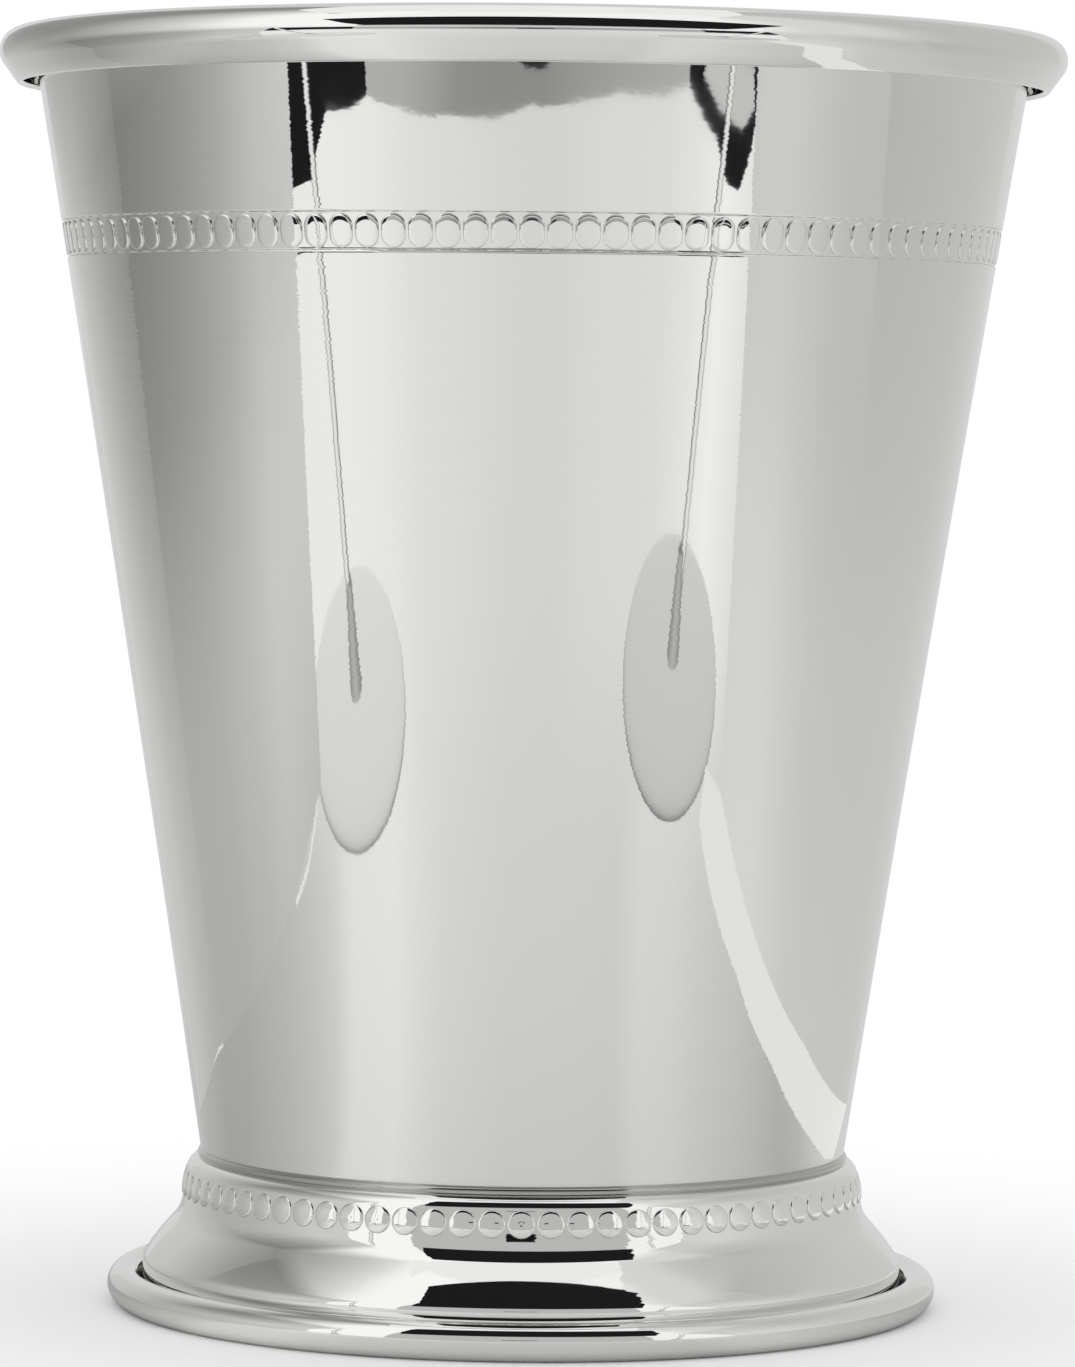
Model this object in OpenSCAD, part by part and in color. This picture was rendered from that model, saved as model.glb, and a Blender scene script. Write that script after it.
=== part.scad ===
// Julep cup: a footed beaker in polished plate.
// Millimetres, +Z up. The origin is the middle of the ring that the foot rests on.
// Every section is drawn in the [radius, height] plane and turned round the Z axis.

/* [Overall] */
// Height from the table to the top of the rim
cup_h = 108.6; // [95:0.1:131]
// Diameter over the rolled rim
rim_d = 91; // [75:0.5:110]
// Diameter of the cup where its wall leaves the floor
base_d = 55.4; // [46:0.1:67]

/* [Cup sheet] */
// Thickness of the cup's sheet
sheet_t = 0.7; // [0.55:0.01:0.85]
// Inner radius of the bend between floor and wall
corner_in_r = 0.25; // [0.2:0.05:1.5]
// Degrees by which the wall leans out more at the rim, and less at the floor, than a straight one
wall_flare = 0.45; // [0.1:0.05:1]

/* [Rolled rim] */
// Outer diameter of the roll
rim_roll_d = 3.66; // [3.05:0.01:4.4]
// Degrees below level at which the roll runs straight on to its lip
rim_lip_angle = 36; // [20:1:60]
// Straight length of sheet between the roll and its lip
rim_flank_l = 1.9; // [0.8:0.05:2.4]

/* [Stud band] */
// Drop from the top of the rim to the band's upper border
band_drop = 16.2; // [12:0.1:30]
// Height of the band between its borders
band_h = 3.1; // [2.5:0.05:4]
// Studs round the band
stud_count = 112; // [80:1:130]
// Groove between neighbouring studs
stud_gap = 0.2; // [0.12:0.01:0.3]
// Groove between the studs and each border
border_gap = 0.17; // [0.12:0.01:0.3]
// Depth of the grooves
groove_d = 0.16; // [0.08:0.01:0.25]

/* [Foot] */
// Height of the land that carries the cup
foot_h = 12.7; // [10.5:0.1:15.5]
// How far the foot's rolled edge stands out past the base of the cup
foot_spread = 7.85; // [6.5:0.05:9.5]
// Thickness of the foot's sheet
foot_t = 0.6; // [0.45:0.01:0.75]
// Width of the land
land_w = 6.4; // [4:0.1:9]
// How far the waist stands out past the base of the cup
waist_step = 1.15; // [0.8:0.05:1.4]
// Outer radius of the shoulder between land and waist
shoulder_r = 1.35; // [1:0.05:1.6]
// Width of the plain zone that carries the beads
bead_zone_w = 2.65; // [2.3:0.05:3]
// Degrees by which the bead zone leans out toward its lower edge
bead_zone_lean = 8; // [5:1:20]
// Radius of the cove, as a share of the largest that fits above the edge
cove_share = 0.5; // [0.2:0.005:0.9]
// Radius of the flange's slight outward bow
flange_bow_r = 23; // [15:1:200]
// Height at which the flange has turned straight down
edge_z = 3.65; // [3:0.05:4.3]
// Outer radius where the flange turns down
edge_r = 1.2; // [0.8:0.05:1.5]

/* [Rolled foot] */
// Outer diameter of the lower half of the roll
foot_roll_d = 3.6; // [3:0.05:4]
// Outer radius of the upper part of the roll
foot_roll_top_r = 1.45; // [1.1:0.05:1.75]
// Degrees through which the upper part is rolled in from the outside
foot_lip_angle = 106; // [90:1:120]
// Depth dressed off under the roll, so that it rests on a flat ring
rest_flat_d = 0.07; // [0.04:0.01:0.12]

/* [Bead row] */
// Beads round the foot
bead_count = 75; // [60:1:76]
// Diameter of a bead
bead_d = 2.3; // [1.9:0.05:2.3]
// Height of a bead above the zone that carries it
bead_rise = 0.2; // [0.15:0.01:0.4]
// Height of the upright edge round a bead
bead_edge_h = 0.07; // [0.03:0.01:0.12]
// Drop from the land to the middle of the beads
bead_drop = 2.25; // [2.1:0.05:2.6]

/* [Solder seam] */
// Thickness of the solder film between land and floor
seam_t = 0.1; // [0.05:0.01:0.15]
// Width of the film
seam_w = 3.6; // [2:0.1:5]
// Diameter of the round of solder that shows at the joint
seam_bead_d = 0.8; // [0.6:0.02:0.9]
// Height of the middle of that round above the land
seam_bead_rise = 0.22; // [0.15:0.01:0.3]

/* [Hidden] */
$fn = 144;

// Overrun of every cut past the face that it cuts
over = 0.3;
// Straight steps in the wall's curve below and above the band
steps_below = 10;
steps_above = 2;
// Largest angle between neighbouring points of a bend
bend_step = 9;
// Straight steps round one end of a stud
stud_steps = 6;

// Unit vector of a section at an angle above level
function unit(a) = [cos(a), sin(a)];

// Bends of the cup's sheet, whose outer face is the underside of the floor and the inside of the roll
floor_z = foot_h + seam_t;
corner_r = corner_in_r + sheet_t;
corner_c = [base_d / 2 - corner_r, floor_z + corner_r];
roll_r = rim_roll_d / 2;
roll_c = [rim_d / 2 - roll_r, cup_h - roll_r];

// Lean of the straight wall that would touch both bends, and of the real one at its two ends
wall_run = roll_c - corner_c;
mean_lean = atan2(wall_run[0], wall_run[1]) - asin((corner_r + roll_r - sheet_t) / norm(wall_run));
lean_low = mean_lean - wall_flare;
lean_high = mean_lean + wall_flare;

// The wall's outer face is one quadratic curve from the corner to the roll, in line with both
wall_p0 = corner_c + corner_r * unit(-lean_low);
wall_p2 = roll_c - (roll_r - sheet_t) * unit(-lean_high);
dir_low = [sin(lean_low), cos(lean_low)];
dir_high = [sin(lean_high), cos(lean_high)];
wall_p1 = wall_p0 + dir_low * cross(wall_p2 - wall_p0, dir_high) / cross(dir_low, dir_high);
function wall_at(u) = pow(1 - u, 2) * wall_p0 + 2 * u * (1 - u) * wall_p1 + u * u * wall_p2;
function wall_dir(u) = let (d = (1 - u) * (wall_p1 - wall_p0) + u * (wall_p2 - wall_p1)) d / norm(d);
function wall_out(u) = [wall_dir(u)[1], -wall_dir(u)[0]];
// Place on the curve at a height
function wall_u(z) =
    let (rise = z - wall_p0[1], b = 2 * (wall_p1[1] - wall_p0[1]),
         a = wall_p0[1] - 2 * wall_p1[1] + wall_p2[1])
    2 * rise / (b + sqrt(b * b + 4 * a * rise));

// The band is a straight stretch of the wall between its two borders
u_low = wall_u(cup_h - band_drop - band_h);
u_high = wall_u(cup_h - band_drop);
band_low = wall_at(u_low);
band_high = wall_at(u_high);
band_mid = (band_low + band_high) / 2;
band_dir = (band_high - band_low) / norm(band_high - band_low);
band_out = [band_dir[1], -band_dir[0]];
band_lean = atan2(band_dir[0], band_dir[1]);
stud_w = 2 * PI * band_mid[0] / stud_count - stud_gap;
stud_h = norm(band_high - band_low) - 2 * border_gap;

// Foot, from the land down to the bead zone
waist_r = base_d / 2 + waist_step;
land_r = waist_r - shoulder_r;
shoulder_c = [land_r, foot_h - shoulder_r];
zone_out = unit(bead_zone_lean);
zone_down = [sin(bead_zone_lean), -cos(bead_zone_lean)];
zone_top = shoulder_c + shoulder_r * zone_out;
zone_low = zone_top + bead_zone_w * zone_down;

// Foot, from the table up to the turned edge
foot_roll_r = foot_roll_d / 2;
foot_r = base_d / 2 + foot_spread;
foot_roll_z = foot_roll_r - rest_flat_d;
foot_roll_c = [foot_r - foot_roll_r, foot_roll_z];
foot_top_c = [foot_r - foot_roll_top_r, foot_roll_z];
neck_r = foot_r - foot_roll_d + foot_t;
edge_c = [neck_r - edge_r, edge_z];

// The cove's radius is a share of the one with which it would touch the edge
edge_gap = zone_low - edge_c;
cove_max_r = (edge_gap * edge_gap - edge_r * edge_r) / (2 * (edge_r - edge_gap * zone_out));
cove_r = cove_share * cove_max_r;
cove_c = zone_low + cove_r * zone_out;

// The bowed flange touches the cove at its upper end and the edge at its lower end
cove_gap = cove_c - edge_c;
bow_gap = flange_bow_r - edge_r;
reach = cove_r + flange_bow_r;
edge_turn = acos((reach * reach - cove_gap * cove_gap - bow_gap * bow_gap) / (2 * bow_gap * norm(cove_gap)));
edge_lean = atan2(cove_gap[1], cove_gap[0]) - edge_turn;
flange_c = edge_c - bow_gap * unit(edge_lean);
flange_gap = cove_c - flange_c;
cove_lean = atan2(flange_gap[1], flange_gap[0]);

// Beads are low domes with an upright edge, rooted in half the sheet
bead_crown = bead_rise - bead_edge_h;
bead_dome_r = (bead_d * bead_d / 4 + bead_crown * bead_crown) / (2 * bead_crown);
bead_root = foot_t / 2;
bead_at = zone_top + (zone_top[1] - foot_h + bead_drop) / cos(bead_zone_lean) * zone_down;

// A sheet is drawn as a path along its outer face: pairs of a point and the face's unit normal there.
// Stretch of such a path round a centre; a negative radius makes a hollow bend
function bend(c, r, a0, a1) =
    let (steps = ceil(abs(a1 - a0) / bend_step))
    [for (i = [0:steps]) let (n = unit(a0 + (a1 - a0) * i / steps)) [c + r * n, n]];

// Section of a sheet from its path and thickness
module sheet(path, t) {
    last = len(path) - 1;
    polygon(concat([for (p = path) p[0]], [for (i = [last:-1:0]) path[i][0] - t * path[i][1]]));
}

// Floor, corner, wall, roll and lip as one sheet
module cup_section() {
    places = concat([for (i = [1:steps_below]) u_low * i / steps_below],
                    [for (i = [0:steps_above - 1]) u_high + (1 - u_high) * i / steps_above]);
    roll = bend(roll_c, sheet_t - roll_r, -lean_high, -180 - rim_lip_angle);
    roll_end = roll[len(roll) - 1];
    lip = [roll_end[0] - rim_flank_l * [sin(rim_lip_angle), cos(rim_lip_angle)], roll_end[1]];
    sheet(concat([[[0, floor_z], unit(-90)]], bend(corner_c, corner_r, -90, -lean_low),
                 [for (u = places) [wall_at(u), wall_out(u)]], roll, [lip]), sheet_t);
}

// Stud with its middle at the origin, its long way along X and its top facing +Z
module stud() {
    straight = stud_h - stud_w;
    end = [for (i = [0:stud_steps]) unit(-90 + 180 * i / stud_steps) * stud_w / 2 + [straight / 2, 0]];
    translate([0, 0, -groove_d - over]) linear_extrude(groove_d + 3 * over)
        polygon(concat(end, -end));
}

// What the band loses round its studs
module stud_grooves() {
    difference() {
        rotate_extrude() polygon([band_low - groove_d * band_out, band_low + over * band_out,
                                  band_high + over * band_out, band_high - groove_d * band_out]);
        for (i = [0:stud_count - 1]) rotate(360 * i / stud_count)
            translate([band_mid[0], 0, band_mid[1]]) rotate([0, 90 + band_lean, 0]) stud();
    }
}

module cup_body() {
    color("silver") difference() {
        rotate_extrude() cup_section();
        stud_grooves();
    }
}

// Land, shoulder, bead zone, cove, flange, turned edge and roll as one sheet, flat where it rests
module foot_section() {
    path = concat([[[land_r - land_w, foot_h], unit(90)]],
                  bend(shoulder_c, shoulder_r, 90, bead_zone_lean),
                  bend(cove_c, -cove_r, bead_zone_lean, cove_lean),
                  bend(flange_c, flange_bow_r, cove_lean, edge_lean),
                  bend(edge_c, edge_r, edge_lean, 0),
                  bend(foot_roll_c, foot_t - foot_roll_r, 0, 180),
                  bend(foot_top_c, foot_t - foot_roll_top_r, 180, 180 + foot_lip_angle));
    difference() {
        sheet(path, foot_t);
        translate([neck_r - foot_roll_d, -rest_flat_d - over]) square([3 * foot_roll_d, rest_flat_d + over]);
    }
}

// Bead with its middle on the origin and its top facing +Z
module bead() {
    rotate_extrude() intersection() {
        translate([0, bead_rise - bead_dome_r]) circle(r = bead_dome_r);
        translate([0, -bead_root]) square([bead_d / 2, bead_root + bead_rise + over]);
    }
}

// Sheet with its beads, of which one faces -Y
module foot() {
    color("silver") {
        rotate_extrude() foot_section();
        for (i = [0:bead_count - 1]) rotate(360 * i / bead_count - 90)
            translate([bead_at[0], 0, bead_at[1]]) rotate([0, 90 - bead_zone_lean, 0]) bead();
    }
}

// Film between land and floor, and the round that fills the crevice outside them
module solder_seam() {
    color("lightgray") rotate_extrude() difference() {
        union() {
            translate([land_r - seam_w, foot_h]) square([seam_w, seam_t]);
            translate([land_r, foot_h + seam_bead_rise]) circle(d = seam_bead_d);
        }
        cup_section();
        foot_section();
    }
}

cup_body();
foot();
solder_seam();
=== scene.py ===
"""Looks of a footed julep cup in mirror-polished plate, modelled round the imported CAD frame.

Lengths are written in millimetres and turned to metres where Blender reads them. The cup stands on z = 0 with its
axis on Z, and the camera looks along +Y. The wall, rim and foot are turned sheets: a section is drawn point by point
and spun. Studs and beads are modelled once and spun as copies. The studio holds what a polished cup mirrors.
"""

import logging
import math
from dataclasses import dataclass, field
from enum import Enum
from typing import Any

import bpy
from mathutils import Matrix, Vector


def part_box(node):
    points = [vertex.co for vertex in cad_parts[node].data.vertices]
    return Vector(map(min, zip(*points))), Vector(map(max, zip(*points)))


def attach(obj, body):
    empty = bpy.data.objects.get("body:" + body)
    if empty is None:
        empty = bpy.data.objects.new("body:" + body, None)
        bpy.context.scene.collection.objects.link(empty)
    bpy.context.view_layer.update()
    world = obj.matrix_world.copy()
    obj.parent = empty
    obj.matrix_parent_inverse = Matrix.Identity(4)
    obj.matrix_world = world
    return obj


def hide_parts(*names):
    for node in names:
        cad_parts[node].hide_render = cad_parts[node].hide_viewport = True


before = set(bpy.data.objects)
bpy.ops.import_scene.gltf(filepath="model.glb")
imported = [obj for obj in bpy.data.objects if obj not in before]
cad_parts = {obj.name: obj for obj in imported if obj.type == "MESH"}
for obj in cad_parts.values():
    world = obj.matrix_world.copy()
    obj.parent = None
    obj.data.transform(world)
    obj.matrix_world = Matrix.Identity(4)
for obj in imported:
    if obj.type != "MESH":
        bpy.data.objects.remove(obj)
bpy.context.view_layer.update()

MM = 0.001
PHOTO_HEIGHT = 1367
# Radius of the cup where its wall leaves the floor, in millimetres
BASE_R = 27.7
# Steps round the axis of every turned piece
SIDES = 320
# Points of a section that lie closer than this become one, in millimetres
MERGE = 0.002
# Edges sharper than this stay sharp, on a turned piece and on a raised cap
TURNED_EDGE = math.radians(40)
CAP_EDGE = math.radians(50)

# Table of number pairs
Pairs = tuple[tuple[float, float], ...]

log = logging.getLogger("julep_cup")


class Slot(Enum):
    """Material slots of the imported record."""

    PLATE = "plate"
    SOLDER = "solder"


def linear(colour: str) -> tuple[float, float, float, float]:
    """Turns an sRGB hex colour to the linear values that a shader reads.

    Args:
        colour: Six hex digits after a hash.

    Returns:
        Red, green, blue and an alpha of 1.
    """
    shares = [int(colour[i : i + 2], 16) / 255 for i in (1, 3, 5)]
    red, green, blue = (s / 12.92 if s <= 0.04045 else ((s + 0.055) / 1.055) ** 2.4 for s in shares)
    return red, green, blue, 1.0


def unit(angle: float) -> Vector:
    """Unit vector in a section, at an angle in degrees above level."""
    return Vector((math.cos(math.radians(angle)), math.sin(math.radians(angle))))


@dataclass
class SheetFace:
    """One face of a bent sheet: points in the [radius, height] plane and the face's unit normals there."""

    points: list[Vector] = field(default_factory=list)
    normals: list[Vector] = field(default_factory=list)

    def add(self, point: Vector, normal: Vector) -> None:
        """Adds one point of the face."""
        self.points.append(point)
        self.normals.append(normal)

    def line(self, start: Vector, end: Vector, normal: Vector, shares: tuple[float, ...]) -> None:
        """Adds points of a straight stretch at shares of its length."""
        for share in shares:
            self.add(start.lerp(end, share), normal)

    def bend(self, centre: Vector, radius: float, start: float, end: float, widest: float = 7.0) -> None:
        """Adds a bend round a centre; a negative radius makes it hollow.

        Args:
            centre: Middle of the bend.
            radius: Radius of this face, in millimetres.
            start: Angle of the normal where the bend starts, in degrees.
            end: Angle of the normal where it ends.
            widest: Largest angle between neighbouring points.
        """
        steps = math.ceil(abs(end - start) / widest)
        for i in range(steps + 1):
            normal = unit(start + (end - start) * i / steps)
            self.add(centre + radius * normal, normal)

    def other_face(self, thickness: float) -> list[Vector]:
        """Points of the sheet's other face, in the same order."""
        return [p - thickness * n for p, n in zip(self.points, self.normals)]


def round_end(start: Vector, end: Vector, steps: int = 6) -> list[Vector]:
    """Half round from one face of a sheet's end to the other, turning left.

    Args:
        start: Last point on the first face.
        end: Point opposite it on the other face.
        steps: Straight steps of the half round.

    Returns:
        The points between the two.
    """
    middle = (start + end) / 2
    arm = start - middle
    turned = []
    for i in range(1, steps):
        cos, sin = math.cos(math.pi * i / steps), math.sin(math.pi * i / steps)
        turned.append(middle + Vector((arm.x * cos - arm.y * sin, arm.x * sin + arm.y * cos)))
    return turned


def lay_down_tools() -> None:
    """Leaves edit mode and deselects everything, so that the next operator acts on its own piece only."""
    if bpy.context.object and bpy.context.object.mode != "OBJECT":
        bpy.ops.object.mode_set(mode="OBJECT")
    bpy.ops.object.select_all(action="DESELECT")


def spin_sheet(name: str, section: list[Vector]) -> bpy.types.Object:
    """Draws a section point by point in the XZ plane and spins it round the Z axis.

    Args:
        name: Name of the piece.
        section: Points in millimetres, from the axis to the axis, or a closed outline.

    Returns:
        The turned piece, with its origin on the frame's.
    """
    lay_down_tools()
    first = section[0]
    bpy.ops.mesh.primitive_plane_add(size=MM, location=(first.x * MM, 0, first.y * MM))
    piece = bpy.context.object
    piece.name = name
    bpy.ops.object.transform_apply(location=True, rotation=False, scale=False)
    bpy.ops.object.mode_set(mode="EDIT")
    bpy.ops.mesh.merge(type="CENTER")
    for here, there in zip(section, section[1:]):
        step = ((there.x - here.x) * MM, 0, (there.y - here.y) * MM)
        bpy.ops.mesh.extrude_vertices_move(TRANSFORM_OT_translate={"value": step})
    bpy.ops.mesh.select_all(action="SELECT")
    bpy.ops.mesh.spin(steps=SIDES, angle=math.tau, center=(0, 0, 0), axis=(0, 0, 1))
    bpy.ops.mesh.select_all(action="SELECT")
    bpy.ops.mesh.remove_doubles(threshold=MERGE * MM)
    bpy.ops.mesh.normals_make_consistent(inside=False)
    bpy.ops.object.mode_set(mode="OBJECT")
    bpy.ops.object.shade_smooth_by_angle(angle=TURNED_EDGE)
    return piece


def raise_cap(name: str, sides: int, radius: float, stretch: float, root: float, rings: Pairs) -> bpy.types.Object:
    """Raises a low rounded cap from a flat disc by insets, top toward +Z.

    Args:
        name: Name of the piece.
        sides: Corners of the disc.
        radius: Radius of the disc in millimetres.
        stretch: Length added along Y between the disc's two halves.
        root: Depth of the cap's root below z = 0.
        rings: Inward step and rise of each inset, from the rim to the top. The first gives the rim's height.

    Returns:
        The cap, with its root closed.
    """
    lay_down_tools()
    bpy.ops.mesh.primitive_circle_add(vertices=sides, radius=radius * MM, fill_type="NGON", location=(0, 0, -root * MM))
    cap = bpy.context.object
    cap.name = name
    bpy.ops.object.transform_apply(location=True, rotation=False, scale=False)
    bpy.ops.object.mode_set(mode="EDIT")
    for side in (1, -1):
        bpy.ops.mesh.select_all(action="DESELECT")
        bpy.ops.object.mode_set(mode="OBJECT")
        for corner in cap.data.vertices:
            corner.select = corner.co.y * side > 0
        bpy.ops.object.mode_set(mode="EDIT")
        bpy.ops.transform.translate(value=(0, side * stretch / 2 * MM, 0))
    bpy.ops.mesh.select_all(action="SELECT")
    bpy.ops.mesh.extrude_region_move(TRANSFORM_OT_translate={"value": (0, 0, (root + rings[0][1]) * MM)})
    for inward, rise in rings[1:]:
        bpy.ops.mesh.inset(thickness=inward * MM, depth=rise * MM)
    bpy.ops.mesh.poke()
    bpy.ops.mesh.select_all(action="SELECT")
    bpy.ops.mesh.normals_make_consistent(inside=False)
    bpy.ops.object.mode_set(mode="OBJECT")
    bpy.ops.object.shade_smooth_by_angle(angle=CAP_EDGE)
    return cap


def set_round(cap: bpy.types.Object, seat: Vector, normal_angle: float, count: int) -> None:
    """Seats a cap on the front of a turned sheet and copies it round the axis.

    Args:
        cap: The cap, with its top toward +Z.
        seat: Radius and height of the cap's seat, in millimetres.
        normal_angle: Degrees above level at which the cap faces.
        count: Caps in the whole ring.
    """
    cap.rotation_euler = (math.radians(90 - normal_angle), 0, 0)
    cap.location = (0, -seat.x * MM, seat.y * MM)
    bpy.ops.object.transform_apply(location=True, rotation=True, scale=False)
    bpy.ops.object.mode_set(mode="EDIT")
    bpy.ops.mesh.select_all(action="SELECT")
    turn = math.tau * (count - 1) / count
    bpy.ops.mesh.spin(steps=count - 1, dupli=True, angle=turn, center=(0, 0, 0), axis=(0, 0, 1))
    bpy.ops.object.mode_set(mode="OBJECT")


def join(main_piece: bpy.types.Object, extra: bpy.types.Object) -> None:
    """Joins an extra piece into the main one, which keeps its name.

    Args:
        main_piece: The piece that stays.
        extra: The piece that becomes a part of it.
    """
    lay_down_tools()
    extra.select_set(True)
    main_piece.select_set(True)
    bpy.context.view_layer.objects.active = main_piece
    bpy.ops.object.join()


@dataclass
class NodeBench:
    """Adds nodes to one shader tree."""

    tree: bpy.types.NodeTree

    def add(self, kind: str, inputs: dict[Any, Any] | None = None, **settings: Any) -> bpy.types.Node:
        """Adds a node with its settings and links.

        Args:
            kind: Blender's name of the node type.
            inputs: Value or output socket for each input, by name or number.
            settings: Properties of the node.

        Returns:
            The new node.
        """
        new = self.tree.nodes.new(kind)
        for name, value in settings.items():
            setattr(new, name, value)
        for name, value in (inputs or {}).items():
            if isinstance(value, bpy.types.NodeSocket):
                self.tree.links.new(value, new.inputs[name])
            else:
                new.inputs[name].default_value = value
        return new


def turn_from_front(bench: NodeBench, place: bpy.types.Node) -> bpy.types.NodeSocket:
    """Adds the nodes for an angle round the cup.

    Args:
        bench: Bench of the material or world.
        place: Node that gives a place's X, Y and Z.

    Returns:
        The angle from the camera's side to the right, in radians.
    """
    ahead = bench.add("ShaderNodeMath", {0: place.outputs["Y"], 1: -1.0}, operation="MULTIPLY")
    turn = bench.add("ShaderNodeMath", {0: place.outputs["X"], 1: ahead.outputs[0]}, operation="ARCTAN2")
    return turn.outputs[0]


def new_material(name: str) -> tuple[bpy.types.Material, NodeBench]:
    """Makes an empty node material.

    Args:
        name: Name of the material.

    Returns:
        The material and the bench for its tree.
    """
    material = bpy.data.materials.new(name)
    material.use_nodes = True
    material.node_tree.nodes.clear()
    return material, NodeBench(material.node_tree)


@dataclass(frozen=True)
class PolishedPlate:
    """Silver plate on spun brass, buffed to a mirror.

    The sheet keeps a faint wave from spinning, a fine orange peel under the plate and hair-fine polishing lines that
    run round the axis. They show as the small raggedness along the edge of everything that the cup mirrors, which is
    stronger in patches where the buff was pressed harder. Real lines are some hundredths of a millimetre apart, and
    are drawn coarser here so that they show.
    """

    colour: str = "#E7E7E5"
    roughness_low: float = 0.012
    roughness_high: float = 0.04
    wave_mm: float = 14.0
    wave_height_mm: float = 0.004
    peel_mm: float = 1.6
    peel_height_mm: float = 0.0007
    line_pitch_mm: float = 0.2
    line_length_mm: float = 7.0
    line_turn: float = 0.012
    pressed_turn: float = 0.05
    pressed_mm: float = 45.0
    smudge_mm: float = 16.0

    def build(self, name: str) -> bpy.types.Material:
        """Builds the material.

        Args:
            name: Name of the material.

        Returns:
            The material, patterned by Object coordinates.
        """
        material, bench = new_material(name)
        place = bench.add("ShaderNodeTexCoord").outputs["Object"]
        wave = bench.add("ShaderNodeTexNoise", {"Vector": place, "Scale": 1 / (self.wave_mm * MM), "Detail": 1.0})
        peel = bench.add("ShaderNodeTexNoise", {"Vector": place, "Scale": 1 / (self.peel_mm * MM), "Detail": 2.0})
        across, along = 1 / (self.line_pitch_mm * MM), 1 / (self.line_length_mm * MM)
        drawn = bench.add("ShaderNodeMapping", {"Vector": place, "Scale": (along, along, across)})
        lines = bench.add("ShaderNodeTexNoise", {"Vector": drawn.outputs[0], "Scale": 1.0, "Detail": 2.0})
        waved = bench.add("ShaderNodeBump", {
            "Height": wave.outputs["Fac"], "Distance": self.wave_height_mm * MM, "Strength": 1.0})
        peeled = bench.add("ShaderNodeBump", {
            "Height": peel.outputs["Fac"], "Distance": self.peel_height_mm * MM, "Strength": 1.0,
            "Normal": waved.outputs["Normal"]})
        normal = self.turn_along_lines(bench, place, lines.outputs["Fac"], peeled.outputs["Normal"])
        smudge = bench.add("ShaderNodeTexNoise", {
            "Vector": place, "Scale": 1 / (self.smudge_mm * MM), "Detail": 5.0, "Roughness": 0.65})
        rough = bench.add("ShaderNodeMapRange", {
            "Value": smudge.outputs["Fac"], "From Min": 0.35, "From Max": 0.75, "To Min": self.roughness_low,
            "To Max": self.roughness_high})
        shader = bench.add("ShaderNodeBsdfPrincipled", {
            "Base Color": linear(self.colour), "Metallic": 1.0, "Roughness": rough.outputs[0], "Normal": normal})
        bench.add("ShaderNodeOutputMaterial", {"Surface": shader.outputs[0]})
        return material

    def turn_along_lines(self, bench: NodeBench, place: bpy.types.NodeSocket, lines: bpy.types.NodeSocket,
                         normal: bpy.types.NodeSocket) -> bpy.types.NodeSocket:
        """Turns the normal a little round the axis, by another amount in each polishing line.

        Args:
            bench: Bench of the material.
            place: Object coordinates.
            lines: Pattern of the lines, round 0.5.
            normal: Normal without them.

        Returns:
            The turned normal.
        """
        pressed = bench.add("ShaderNodeTexNoise", {
            "Vector": place, "Scale": 1 / (self.pressed_mm * MM), "Detail": 1.0})
        most = bench.add("ShaderNodeMapRange", {
            "Value": pressed.outputs["Fac"], "From Min": 0.5, "From Max": 0.7, "To Min": self.line_turn,
            "To Max": self.pressed_turn})
        offset = bench.add("ShaderNodeMath", {0: lines, 1: 0.5}, operation="SUBTRACT")
        amount = bench.add("ShaderNodeMath", {0: offset.outputs[0], 1: most.outputs[0]}, operation="MULTIPLY")
        round_axis = bench.add("ShaderNodeVectorMath", {0: (0.0, 0.0, 1.0), 1: place}, operation="CROSS_PRODUCT")
        along = bench.add("ShaderNodeVectorMath", {0: round_axis.outputs[0]}, operation="NORMALIZE")
        step = bench.add("ShaderNodeVectorMath", {0: along.outputs[0], "Scale": amount.outputs[0]}, operation="SCALE")
        moved = bench.add("ShaderNodeVectorMath", {0: normal, 1: step.outputs[0]}, operation="ADD")
        return bench.add("ShaderNodeVectorMath", {0: moved.outputs[0]}, operation="NORMALIZE").outputs[0]


@dataclass(frozen=True)
class SatinPlate:
    """Plate over an unbuffed spun sheet, as under the foot: the lathe's rings blur what it mirrors."""

    colour: str = "#CFCFCC"
    roughness: float = 0.32
    spread: float = 0.2
    ring_mm: float = 0.45
    ring_height_mm: float = 0.002
    cloud_mm: float = 6.0

    def build(self, name: str) -> bpy.types.Material:
        """Builds the material.

        Args:
            name: Name of the material.

        Returns:
            The material, patterned by Object coordinates.
        """
        material, bench = new_material(name)
        place = bench.add("ShaderNodeTexCoord").outputs["Object"]
        rings = bench.add("ShaderNodeTexWave", {
            "Vector": place, "Scale": 1 / (self.ring_mm * MM) / math.tau, "Distortion": 1.5, "Detail": 2.0,
            "Detail Scale": 0.2}, wave_type="RINGS", rings_direction="Z")
        bump = bench.add("ShaderNodeBump", {
            "Height": rings.outputs["Fac"], "Distance": self.ring_height_mm * MM, "Strength": 1.0})
        cloud = bench.add("ShaderNodeTexNoise", {"Vector": place, "Scale": 1 / (self.cloud_mm * MM), "Detail": 4.0})
        rough = bench.add("ShaderNodeMapRange", {
            "Value": cloud.outputs["Fac"], "From Min": 0.3, "From Max": 0.7,
            "To Min": self.roughness * (1 - self.spread), "To Max": self.roughness * (1 + self.spread)})
        shader = bench.add("ShaderNodeBsdfPrincipled", {
            "Base Color": linear(self.colour), "Metallic": 1.0, "Roughness": rough.outputs[0],
            "Normal": bump.outputs["Normal"]})
        bench.add("ShaderNodeOutputMaterial", {"Surface": shader.outputs[0]})
        return material


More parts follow.
